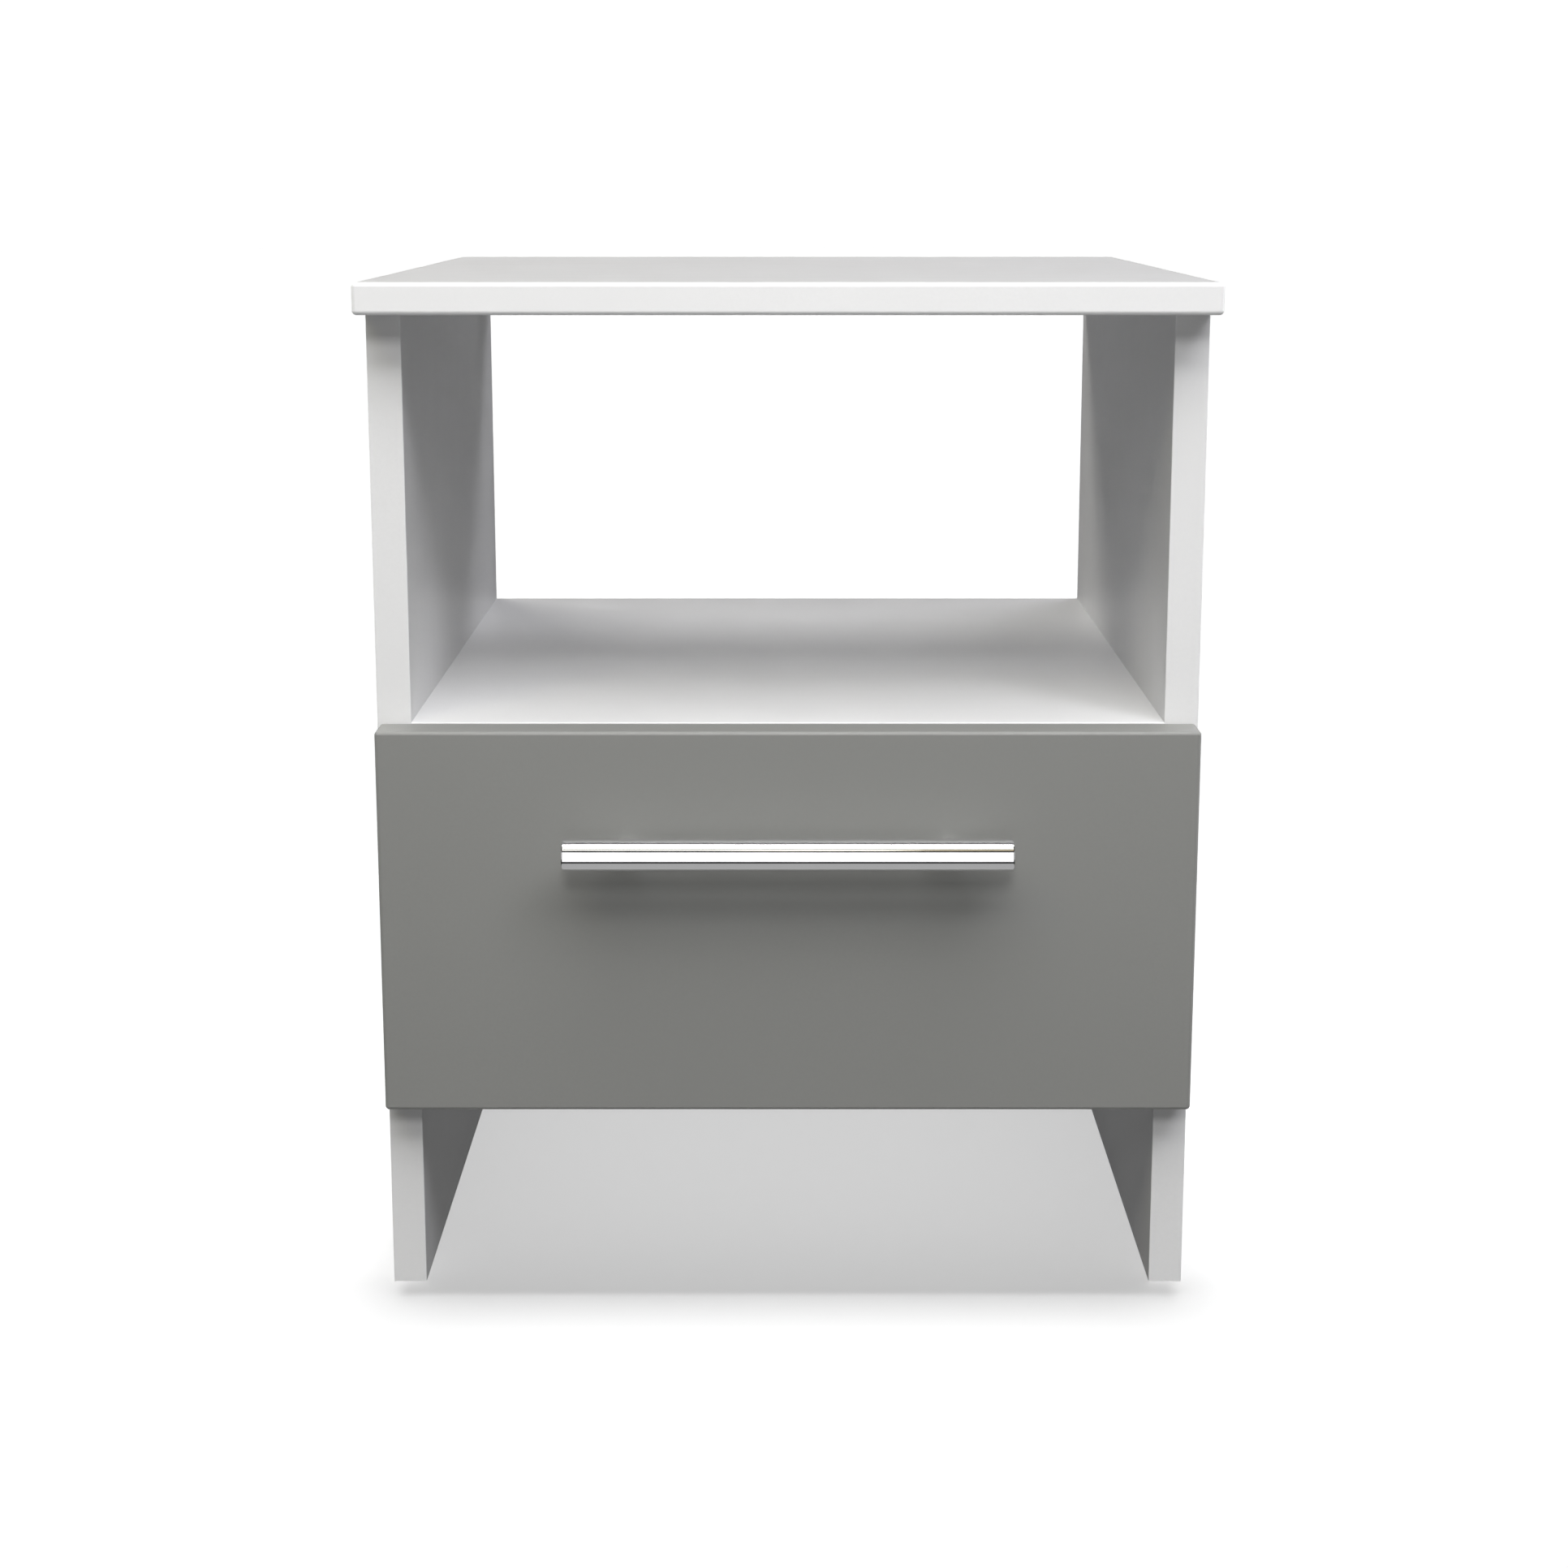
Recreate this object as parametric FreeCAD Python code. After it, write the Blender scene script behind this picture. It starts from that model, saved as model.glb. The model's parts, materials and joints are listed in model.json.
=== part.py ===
"""Bedside table: an open bay above one full-overlay drawer on roller runners.

Millimetres.  +Z is up, the drawer opens towards -Y and the object is symmetric about
the YZ plane.  The origin is on the floor, at the centre of the footprint that the top
board and the handle make together.
"""
import FreeCAD, Part
import os

# Overall and board sizes
TOP_WIDTH = 415.0
TOP_DEPTH = 395.0
HEIGHT = 520.0
TOP_THICK = 15.5
CARCASS_WIDTH = 412.0
SIDE_THICK = 17.0
SHELF_THICK = 15.5
SHELF_TOP_Z = 299.8
BASE_BOTTOM_Z = 104.3

# Edging strips and rounded arrises
TOP_LIPPING = 2.4
TOP_ARRIS = 2.2
EDGE_TAPE = 0.8
TAPE_ARRIS = 0.5

# Drawer front: it overlays the carcass, and the top stands proud of its face
FRONT_WIDTH = 409.2
FRONT_THICK = 18.0
FRONT_BOTTOM_Z = 102.3
FRONT_TOP_Z = 299.5
FRONT_ARRIS = 2.0
FRONT_GAP = 2.0
TOP_OVER_FACE = 9.6

# Bar handle
BAR_DIAMETER = 16.0
BAR_LENGTH = 221.0
BAR_STANDOFF = 21.5
BAR_Z = 242.6
BAR_END_ROUND = 0.7
POST_CENTRES = 160.0
POST_DIAMETER = 6.0
HANDLE_SCREW_R = 1.95
HANDLE_THREAD_DEPTH = 10.0
HANDLE_SCREW_SHORT = 1.0
HANDLE_BORE_R = 2.5
HANDLE_HEAD_R = 4.2
HANDLE_HEAD = 2.4

# Back panel, in a groove that stops at the shelf and at the base
BACK_THICK = 3.0
BACK_RECESS = 8.0
BACK_GROOVE_DEPTH = 6.0
BACK_IN_GROOVE = 5.5
GROOVE_PLAY = 0.2

# Drawer box
BOX_THICK = 12.0
BOX_LENGTH = 350.0
BOX_HEIGHT = 120.0
BOX_BOTTOM_Z = 138.0
SIDE_SPACE = 12.5
BOARD_THICK = 3.0
BOARD_ABOVE_EDGE = 8.0
BOARD_PLAY = 0.5
LOW_FIXING = 28.0
HIGH_FIXING = 96.0

# Roller runners
STEEL = 1.2
RUNNER_LENGTH = 350.0
RUNNER_SETBACK = 2.0
RUNNER_BOTTOM_Z = 124.8
TRACK_WIDTH = 10.4
TRACK_GAP = 24.3
UPPER_TRACK_START = 45.0
ROLLER_R = 10.0
ROLLER_WIDTH = 6.0
ROLLER_INSET = 12.0
ROLLER_PLAY = 0.3
FRONT_ROLLER_LIFT = 1.6
PIN_R = 2.0
PIN_CLEARANCE = 0.05
SHOULDER_R = 3.5
SHOULDER_LENGTH = 1.2
PIN_HEAD = 0.8
PIN_END_GAP = 0.3
FLANGE_REACH = 8.6
RIM_CHAMFER = 0.5
DISH_DEPTH = 1.0
DISH_WALL = 2.5
HUB_WALL = 0.5
EAR_R = 7.5
STOP_HEIGHT = 5.0
STOP_GAP = 0.5
DRAWER_TRAVEL = 260.0

# Fasteners
DOWEL_R = 4.0
DOWEL_LENGTH = 30.0
DOWEL_IN_FACE = 10.5
DOWEL_FROM_EDGE = 40.0
SMALL_DOWEL_R = 3.0
SMALL_DOWEL_LENGTH = 28.0
SMALL_DOWEL_IN_FACE = 8.0
GLUE_GAP = 0.05
SCREW_R = 1.75
SCREW_HEAD_R = 3.4
PAN_HEAD = 2.0
CABINET_SCREW_LENGTH = 14.0
CABINET_SCREWS = (34.0, 162.0, 322.0)
DRAWER_SCREW_LENGTH = 16.0
DRAWER_SCREWS = (30.0, 160.0, 300.0)
DRAWER_SCREW_INSET = 4.0
FRONT_SCREW_LENGTH = 25.0
FRONT_SCREW_X = 130.0
NAIL_R = 0.8
NAIL_LENGTH = 22.0
NAIL_HEAD_R = 2.0
NAIL_HEAD = 0.6
NAILS_X = (-165.0, -55.0, 55.0, 165.0)

# Places worked out from the sizes above
BACK_Y = (TOP_DEPTH - TOP_OVER_FACE + BAR_STANDOFF + BAR_DIAMETER / 2) / 2
TOP_FRONT_Y = BACK_Y - TOP_DEPTH
FACE_Y = TOP_FRONT_Y + TOP_OVER_FACE
FRONT_BACK_Y = FACE_Y + FRONT_THICK
CARCASS_FRONT_Y = FRONT_BACK_Y + FRONT_GAP
SIDE_TOP_Z = HEIGHT - TOP_THICK
SHELF_BOTTOM_Z = SHELF_TOP_Z - SHELF_THICK
BASE_TOP_Z = BASE_BOTTOM_Z + SHELF_THICK
SIDE_OUTER_X = CARCASS_WIDTH / 2
SIDE_INNER_X = SIDE_OUTER_X - SIDE_THICK
BACK_PANEL_Y = BACK_Y - BACK_RECESS - BACK_THICK
BOX_OUTER_X = SIDE_INNER_X - SIDE_SPACE
BOX_INNER_X = BOX_OUTER_X - BOX_THICK
BOX_BACK_Y = FRONT_BACK_Y + BOX_LENGTH
BOX_TOP_Z = BOX_BOTTOM_Z + BOX_HEIGHT
BOARD_Z = BOX_BOTTOM_Z + BOARD_ABOVE_EDGE
BOX_FIXINGS_Z = (BOX_BOTTOM_Z + LOW_FIXING, BOX_BOTTOM_Z + HIGH_FIXING)
RUNNER_FRONT_Y = CARCASS_FRONT_Y + RUNNER_SETBACK
RUNNER_BACK_Y = RUNNER_FRONT_Y + RUNNER_LENGTH
TRACK_Z = RUNNER_BOTTOM_Z + STEEL
FRONT_ROLLER_Y = RUNNER_FRONT_Y + ROLLER_INSET
FRONT_ROLLER_Z = TRACK_Z + ROLLER_R + FRONT_ROLLER_LIFT
REAR_ROLLER_Y = BOX_BACK_Y - ROLLER_INSET
REAR_ROLLER_Z = TRACK_Z + ROLLER_R + ROLLER_PLAY
FLANGE_Z = FRONT_ROLLER_Z + ROLLER_R + ROLLER_PLAY

X = FreeCAD.Vector(1, 0, 0)
Y = FreeCAD.Vector(0, 1, 0)
Z = FreeCAD.Vector(0, 0, 1)
SIDES = (("left", -1), ("right", 1))


def block(x0, x1, y0, y1, z0, z1):
    """A box between two x, two y and two z values, in any order."""
    low = FreeCAD.Vector(min(x0, x1), min(y0, y1), min(z0, z1))
    return Part.makeBox(abs(x1 - x0), abs(y1 - y0), abs(z1 - z0), low)


def rod(radius, length, x, y, z, along):
    """A cylinder that starts at x, y, z and runs along a direction."""
    return Part.makeCylinder(radius, length, FreeCAD.Vector(x, y, z), along)


def cone(r_start, r_end, length, x, y, z, along):
    """A cone that starts at x, y, z and runs along a direction."""
    return Part.makeCone(r_start, r_end, length, FreeCAD.Vector(x, y, z), along)


def joined(first, *others):
    """One solid made of pieces that touch or overlap."""
    return first.fuse(list(others)).removeSplitter()


def without(solid, cutters):
    """The solid with every cutter taken away."""
    return solid.cut(list(cutters)) if cutters else solid


def rounded(solid, radius, wanted):
    """The solid with a round on each edge whose midpoint passes the test."""
    edges = []
    for edge in solid.Edges:
        if wanted(edge.BoundBox.Center):
            edges.append(edge)
    return solid.makeFillet(radius, edges)


def round_edges(solid):
    """The edges that close on themselves, such as a cylinder's two rims."""
    return [edge for edge in solid.Edges if edge.isClosed()]


def near(a, b):
    return abs(a - b) < 0.01


def save(name, *solids):
    """Write one node.  Separate solids stay separate."""
    shape = solids[0] if len(solids) == 1 else Part.makeCompound(list(solids))
    if not shape.isValid():
        raise ValueError(name + " is not a valid shape")
    shape.exportStep("parts/" + name + ".step")


# Places that repeat

def three_along_depth():
    """Depths of the three dowels in each end of a board."""
    first = CARCASS_FRONT_Y + DOWEL_FROM_EDGE
    last = BACK_PANEL_Y - DOWEL_FROM_EDGE
    return (first, (first + last) / 2, last)


def carcass_dowel_lines():
    """Dowels between a side panel and the top, shelf or base: start and direction."""
    lines = {"top": [], "shelf": [], "base": []}
    for _, sign in SIDES:
        edge_x = sign * (SIDE_OUTER_X - SIDE_THICK / 2)
        face_x = sign * (SIDE_INNER_X + DOWEL_IN_FACE)
        for y in three_along_depth():
            lines["top"].append((edge_x, y, SIDE_TOP_Z + DOWEL_IN_FACE, -Z))
            lines["shelf"].append((face_x, y, SHELF_TOP_Z - SHELF_THICK / 2, X * -sign))
            lines["base"].append((face_x, y, BASE_TOP_Z - SHELF_THICK / 2, X * -sign))
    return lines


def dowels(lines, radius, length, gap=0.0):
    """Dowels, or with a gap the holes that take them."""
    pieces = []
    for x, y, z, along in lines:
        start = FreeCAD.Vector(x, y, z) - along * gap
        pieces.append(Part.makeCylinder(radius + gap, length + 2 * gap, start, along))
    return pieces


def box_dowel_lines():
    """Two dowels in each corner of the drawer box."""
    lines = []
    for _, sign in SIDES:
        x = sign * (BOX_INNER_X + SMALL_DOWEL_IN_FACE)
        for y in (FRONT_BACK_Y + BOX_THICK / 2, BOX_BACK_Y - BOX_THICK / 2):
            for z in BOX_FIXINGS_Z:
                lines.append((x, y, z, X * -sign))
    return lines


def countersunk_screw(x, y, z, along, length, gap=0.0):
    """A screw whose flat head is flush at x, y, z, or with a gap its hole."""
    sink = SCREW_HEAD_R - SCREW_R
    head = cone(SCREW_HEAD_R + gap, SCREW_R + gap, sink, x, y, z, along)
    shank = rod(SCREW_R + gap, length + gap, x, y, z, along)
    return joined(head, shank)


def pan_screw(x, y, z, along, radius, length, head_r, head_thick):
    """A screw whose round head stands on the surface at x, y, z."""
    shank = rod(radius, length, x, y, z, along)
    head = rod(head_r, head_thick, x, y, z, along * -1)
    return joined(shank, head)


# Carcass

def top_board():
    """The top: a core, and a rounded lipping strip on each of its four edges."""
    half = TOP_WIDTH / 2
    whole = block(-half, half, TOP_FRONT_Y, BACK_Y, SIDE_TOP_Z, HEIGHT)
    whole = whole.makeFillet(TOP_ARRIS, whole.Edges)
    core_x = half - TOP_LIPPING
    core_front = TOP_FRONT_Y + TOP_LIPPING
    core_back = BACK_Y - TOP_LIPPING
    core = block(-core_x, core_x, core_front, core_back, SIDE_TOP_Z, HEIGHT)
    lines = carcass_dowel_lines()["top"]
    save("top_panel", without(core, dowels(lines, DOWEL_R, DOWEL_LENGTH, GLUE_GAP)))
    z0, z1 = SIDE_TOP_Z, HEIGHT
    strips = {
        "front": block(-half, half, TOP_FRONT_Y, core_front, z0, z1),
        "back": block(-half, half, core_back, BACK_Y, z0, z1),
        "left": block(-half, -core_x, core_front, core_back, z0, z1),
        "right": block(core_x, half, core_front, core_back, z0, z1),
    }
    for place, strip in strips.items():
        save("top_" + place + "_lipping", whole.common(strip))


def side_panels():
    """Two upright boards that stand on the floor, with tape on both long edges."""
    lines = carcass_dowel_lines()
    holes = []
    for group in lines.values():
        holes += dowels(group, DOWEL_R, DOWEL_LENGTH, GLUE_GAP)
    holes += runner_screws_in_panel(GLUE_GAP)
    for name, sign in SIDES:
        outer = sign * SIDE_OUTER_X
        inner = sign * SIDE_INNER_X
        front = CARCASS_FRONT_Y + EDGE_TAPE
        back = BACK_Y - EDGE_TAPE
        panel = block(inner, outer, front, back, 0, SIDE_TOP_Z)
        groove = block(
            inner,
            sign * (SIDE_INNER_X + BACK_GROOVE_DEPTH),
            BACK_PANEL_Y - GROOVE_PLAY / 2,
            BACK_PANEL_Y + BACK_THICK + GROOVE_PLAY / 2,
            BASE_BOTTOM_Z - GROOVE_PLAY,
            SHELF_BOTTOM_Z,
        )
        save(name + "_side_panel", without(panel, holes + [groove]))
        for place, y, towards in (("front", front, -1), ("back", back, 1)):
            skin = y + towards * EDGE_TAPE
            strip = block(inner, outer, y, skin, 0, SIDE_TOP_Z)
            strip = rounded(
                strip,
                TAPE_ARRIS,
                lambda at: near(at.y, skin) and not near(at.x, (inner + outer) / 2),
            )
            save(name + "_side_" + place + "_tape", strip)


def level_board(name, top_z, back_y, holes, taped_back):
    """A level board between the side panels, with tape on its open edges."""
    bottom_z = top_z - SHELF_THICK
    front = CARCASS_FRONT_Y + EDGE_TAPE
    back = back_y - EDGE_TAPE if taped_back else back_y
    board = block(-SIDE_INNER_X, SIDE_INNER_X, front, back, bottom_z, top_z)
    save(name + "_panel", without(board, holes))
    places = [("front", front, -1)]
    if taped_back:
        places.append(("back", back, 1))
    for place, y, towards in places:
        skin = y + towards * EDGE_TAPE
        strip = block(-SIDE_INNER_X, SIDE_INNER_X, y, skin, bottom_z, top_z)
        strip = rounded(
            strip,
            TAPE_ARRIS,
            lambda at: near(at.y, skin) and near(at.x, 0),
        )
        save(name + "_" + place + "_tape", strip)


def shelf():
    """The floor of the open bay, as deep as the side panels."""
    lines = carcass_dowel_lines()["shelf"]
    groove = block(
        -SIDE_INNER_X,
        SIDE_INNER_X,
        BACK_PANEL_Y - GROOVE_PLAY / 2,
        BACK_PANEL_Y + BACK_THICK + GROOVE_PLAY / 2,
        SHELF_BOTTOM_Z,
        SHELF_BOTTOM_Z + BACK_GROOVE_DEPTH,
    )
    holes = dowels(lines, DOWEL_R, DOWEL_LENGTH, GLUE_GAP) + [groove]
    level_board("shelf", SHELF_TOP_Z, BACK_Y, holes, True)


def base():
    """The board under the drawer.  It ends at the back panel, which is nailed to it."""
    lines = carcass_dowel_lines()["base"]
    holes = dowels(lines, DOWEL_R, DOWEL_LENGTH, GLUE_GAP) + back_nails(GLUE_GAP)
    level_board("base", BASE_TOP_Z, BACK_PANEL_Y, holes, False)


def back_nails(gap=0.0):
    """Nails through the back panel into the back edge of the base."""
    nails = []
    y = BACK_PANEL_Y + BACK_THICK
    z = BASE_TOP_Z - SHELF_THICK / 2
    for x in NAILS_X:
        shank = rod(NAIL_R + gap, NAIL_LENGTH + gap, x, y, z, -Y)
        head = rod(NAIL_HEAD_R, NAIL_HEAD, x, y, z, Y)
        nails.append(joined(shank, head))
    return nails


def back_panel():
    """A thin board behind the drawer only.  The bay above it is open."""
    half = SIDE_INNER_X + BACK_IN_GROOVE
    y1 = BACK_PANEL_Y + BACK_THICK
    top = SHELF_BOTTOM_Z + BACK_IN_GROOVE
    low = block(-half, half, BACK_PANEL_Y, y1, BASE_BOTTOM_Z, SHELF_BOTTOM_Z)
    high = block(-SIDE_INNER_X, SIDE_INNER_X, BACK_PANEL_Y, y1, SHELF_BOTTOM_Z, top)
    save("back_panel", without(joined(low, high), back_nails(GLUE_GAP)))
    save("back_panel_nails", *back_nails())


def carcass_dowels():
    for place, lines in carcass_dowel_lines().items():
        save(place + "_dowels", *dowels(lines, DOWEL_R, DOWEL_LENGTH))


# Runners.  Each is described for the side whose sign it is given.

def runner_screws_in_panel(gap=0.0):
    """Flush screws through each cabinet runner into its side panel."""
    screws = []
    z = TRACK_Z + TRACK_GAP / 2
    for _, sign in SIDES:
        x = sign * (SIDE_INNER_X - STEEL)
        for from_front in CABINET_SCREWS:
            y = RUNNER_FRONT_Y + from_front
            screws.append(countersunk_screw(x, y, z, X * sign, CABINET_SCREW_LENGTH, gap))
    return screws


def runner_screws_in_drawer():
    """Round-head screws up through each drawer runner into the drawer side."""
    screws = []
    z = BOX_BOTTOM_Z - STEEL
    for _, sign in SIDES:
        x = sign * (BOX_OUTER_X - DRAWER_SCREW_INSET)
        for from_front in DRAWER_SCREWS:
            y = FRONT_BACK_Y + from_front
            screw = pan_screw(x, y, z, Z, SCREW_R, DRAWER_SCREW_LENGTH, SCREW_HEAD_R, PAN_HEAD)
            screws.append(screw)
    return screws


def roller_stops(sign):
    """Turned-up tabs that the drawer's roller meets at each end of its travel."""
    drop = ROLLER_R + ROLLER_PLAY - STOP_HEIGHT
    reach = (ROLLER_R ** 2 - drop ** 2) ** 0.5 + STOP_GAP
    x0 = sign * SIDE_INNER_X
    x1 = sign * (SIDE_INNER_X - TRACK_WIDTH)
    z1 = TRACK_Z + STOP_HEIGHT
    open_y = REAR_ROLLER_Y - DRAWER_TRAVEL - reach
    shut_y = REAR_ROLLER_Y + reach
    return (
        block(x0, x1, open_y - STEEL, open_y, TRACK_Z, z1),
        block(x0, x1, shut_y, shut_y + STEEL, TRACK_Z, z1),
    )


def cabinet_runner(sign):
    """A channel on the side panel, open towards the drawer."""
    x0 = sign * SIDE_INNER_X
    x1 = sign * (SIDE_INNER_X - STEEL)
    x2 = sign * (SIDE_INNER_X - TRACK_WIDTH)
    y0, y1 = RUNNER_FRONT_Y, RUNNER_BACK_Y
    upper_z = TRACK_Z + TRACK_GAP
    web = block(x0, x1, y0, y1, RUNNER_BOTTOM_Z, upper_z + STEEL)
    track = block(x0, x2, y0, y1, RUNNER_BOTTOM_Z, TRACK_Z)
    guide = block(x0, x2, y0 + UPPER_TRACK_START, y1, upper_z, upper_z + STEEL)
    channel = joined(web, track, guide, *roller_stops(sign))
    pin_hole = rod(PIN_R + GLUE_GAP, STEEL, x0, FRONT_ROLLER_Y, FRONT_ROLLER_Z, X * -sign)
    return without(channel, runner_screws_in_panel(GLUE_GAP) + [pin_hole])


def drawer_runner(sign):
    """An angle under the drawer side, with a flange out over the cabinet roller."""
    x_web = sign * (BOX_OUTER_X + STEEL)
    x_face = sign * BOX_OUTER_X
    x_under = sign * (BOX_OUTER_X - BOX_THICK + 1.0)
    x_tip = sign * (BOX_OUTER_X + STEEL + FLANGE_REACH)
    y0, y1 = FRONT_BACK_Y, BOX_BACK_Y
    z_under = BOX_BOTTOM_Z - STEEL
    under = block(x_web, x_under, y0, y1, z_under, BOX_BOTTOM_Z)
    web = block(x_web, x_face, y0, y1, z_under, FLANGE_Z + STEEL)
    flange = block(x_web, x_tip, y0, y1, FLANGE_Z, FLANGE_Z + STEEL)
    ear = rod(EAR_R, STEEL, x_face, REAR_ROLLER_Y, REAR_ROLLER_Z, X * sign)
    angle = joined(under, web, flange, ear)
    pin_hole = rod(PIN_R + GLUE_GAP, STEEL, x_face, REAR_ROLLER_Y, REAR_ROLLER_Z, X * sign)
    return without(angle, runner_screws_in_drawer() + [pin_hole])


def roller_pin(x_foot, y, z, along):
    """A rivet with a shoulder and a head that keep the roller between them."""
    turn = STEEL + SHOULDER_LENGTH
    span = ROLLER_WIDTH + 2 * PIN_END_GAP
    at = x_foot + along.x * STEEL
    head_at = x_foot + along.x * (turn + span)
    shank = rod(PIN_R, turn + span, x_foot, y, z, along)
    shoulder = rod(SHOULDER_R, SHOULDER_LENGTH, at, y, z, along)
    head = rod(SHOULDER_R, PIN_HEAD, head_at, y, z, along)
    return joined(shank, shoulder, head)


def roller(x_foot, y, z, along):
    """A roller with eased rims, a dished face and a bore that runs on its pin."""
    start = x_foot + along.x * (STEEL + SHOULDER_LENGTH + PIN_END_GAP)
    wheel = rod(ROLLER_R, ROLLER_WIDTH, start, y, z, along)
    wheel = wheel.makeChamfer(RIM_CHAMFER, round_edges(wheel))
    bore = rod(PIN_R + PIN_CLEARANCE, ROLLER_WIDTH, start, y, z, along)
    dish_x = start + along.x * (ROLLER_WIDTH - DISH_DEPTH)
    dish = rod(ROLLER_R - DISH_WALL, DISH_DEPTH, dish_x, y, z, along)
    hub = rod(SHOULDER_R + HUB_WALL, DISH_DEPTH, dish_x, y, z, along)
    return without(wheel, [bore, dish.cut(hub)])


def runners():
    for name, sign in SIDES:
        save(name + "_cabinet_runner", cabinet_runner(sign))
        save(name + "_drawer_runner", drawer_runner(sign))
        front_pin = (sign * SIDE_INNER_X, FRONT_ROLLER_Y, FRONT_ROLLER_Z, X * -sign)
        rear_pin = (sign * BOX_OUTER_X, REAR_ROLLER_Y, REAR_ROLLER_Z, X * sign)
        save(name + "_cabinet_roller_pin", roller_pin(*front_pin))
        save(name + "_cabinet_roller", roller(*front_pin))
        save(name + "_drawer_roller_pin", roller_pin(*rear_pin))
        save(name + "_drawer_roller", roller(*rear_pin))
    save("cabinet_runner_screws", *runner_screws_in_panel())
    save("drawer_runner_screws", *runner_screws_in_drawer())


# Drawer

def board_groove():
    """The room that the drawer's bottom board takes in the four box boards."""
    depth = BOX_THICK / 2
    return block(
        -BOX_INNER_X - depth,
        BOX_INNER_X + depth,
        FRONT_BACK_Y + BOX_THICK - depth,
        BOX_BACK_Y - BOX_THICK + depth,
        BOARD_Z - GROOVE_PLAY / 2,
        BOARD_Z + BOARD_THICK + GROOVE_PLAY / 2,
    )


def front_screws(gap=0.0):
    """Screws from inside the drawer box into the back of the drawer front."""
    screws = []
    y = FRONT_BACK_Y + BOX_THICK
    for x in (-FRONT_SCREW_X, FRONT_SCREW_X):
        for z in BOX_FIXINGS_Z:
            screws.append(countersunk_screw(x, y, z, -Y, FRONT_SCREW_LENGTH, gap))
    return screws


def handle_screw_holes(y0, y1):
    """Holes on the handle's fixing centres, from one depth to another."""
    holes = []
    for x in (-POST_CENTRES / 2, POST_CENTRES / 2):
        holes.append(rod(HANDLE_BORE_R, y1 - y0, x, y0, BAR_Z, Y))
    return holes


def drawer_front():
    half = FRONT_WIDTH / 2
    slab = block(-half, half, FACE_Y, FRONT_BACK_Y, FRONT_BOTTOM_Z, FRONT_TOP_Z)
    slab = rounded(slab, FRONT_ARRIS, lambda at: not near(at.y, FRONT_BACK_Y))
    holes = handle_screw_holes(FACE_Y, FRONT_BACK_Y) + front_screws(GLUE_GAP)
    save("drawer_front", without(slab, holes))


def drawer_box():
    """Four boards doweled at the corners around a thin bottom board."""
    groove = board_groove()
    holes = dowels(box_dowel_lines(), SMALL_DOWEL_R, SMALL_DOWEL_LENGTH, GLUE_GAP)
    z0, z1 = BOX_BOTTOM_Z, BOX_TOP_Z
    for name, sign in SIDES:
        board = block(sign * BOX_INNER_X, sign * BOX_OUTER_X, FRONT_BACK_Y, BOX_BACK_Y, z0, z1)
        board = without(board, holes + [groove] + runner_screws_in_drawer())
        save(name + "_drawer_side", board)
    inner = FRONT_BACK_Y + BOX_THICK
    front = block(-BOX_INNER_X, BOX_INNER_X, FRONT_BACK_Y, inner, z0, z1)
    bores = handle_screw_holes(FRONT_BACK_Y, inner) + front_screws(GLUE_GAP)
    save("drawer_box_front", without(front, holes + [groove] + bores))
    back = block(-BOX_INNER_X, BOX_INNER_X, BOX_BACK_Y - BOX_THICK, BOX_BACK_Y, z0, z1)
    save("drawer_back", without(back, holes + [groove]))
    reach = BOX_THICK / 2 - BOARD_PLAY
    x = BOX_INNER_X + reach
    y1 = BOX_BACK_Y - BOX_THICK + reach
    save("drawer_bottom", block(-x, x, inner - reach, y1, BOARD_Z, BOARD_Z + BOARD_THICK))
    save("drawer_dowels", *dowels(box_dowel_lines(), SMALL_DOWEL_R, SMALL_DOWEL_LENGTH))
    save("drawer_front_screws", *front_screws())


def handle():
    """A round bar on two posts, fixed by screws from inside the drawer."""
    bar_y = FACE_Y - BAR_STANDOFF
    bar = rod(BAR_DIAMETER / 2, BAR_LENGTH, -BAR_LENGTH / 2, bar_y, BAR_Z, X)
    save("handle_bar", bar.makeFillet(BAR_END_ROUND, round_edges(bar)))
    posts = []
    screws = []
    thread_y = FACE_Y - HANDLE_THREAD_DEPTH
    screw_y = FRONT_BACK_Y + BOX_THICK
    for x in (-POST_CENTRES / 2, POST_CENTRES / 2):
        post = rod(POST_DIAMETER / 2, BAR_STANDOFF, x, FACE_Y, BAR_Z, -Y)
        bore = rod(HANDLE_SCREW_R + GLUE_GAP, HANDLE_THREAD_DEPTH, x, thread_y, BAR_Z, Y)
        posts.append(without(post, [bar, bore]))
        length = screw_y - thread_y - HANDLE_SCREW_SHORT
        screw = pan_screw(x, screw_y, BAR_Z, -Y, HANDLE_SCREW_R, length, HANDLE_HEAD_R, HANDLE_HEAD)
        screws.append(screw)
    save("handle_posts", *posts)
    save("handle_screws", *screws)


os.makedirs("parts", exist_ok=True)
top_board()
side_panels()
shelf()
base()
back_panel()
carcass_dowels()
runners()
drawer_front()
drawer_box()
handle()
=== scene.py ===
"""Looks of a bedside table: an open bay above one drawer with a chrome bar handle.

Metres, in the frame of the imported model: +Z is up and the drawer opens towards -Y.
Every board, runner and fitting stands where its CAD node stands.  Boards keep the CAD
shape with their sharp edges eased, and turned fittings are made again as clean lathes.
"""
import json
import math

import bmesh
import bpy
from mathutils import Matrix, Vector

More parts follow.
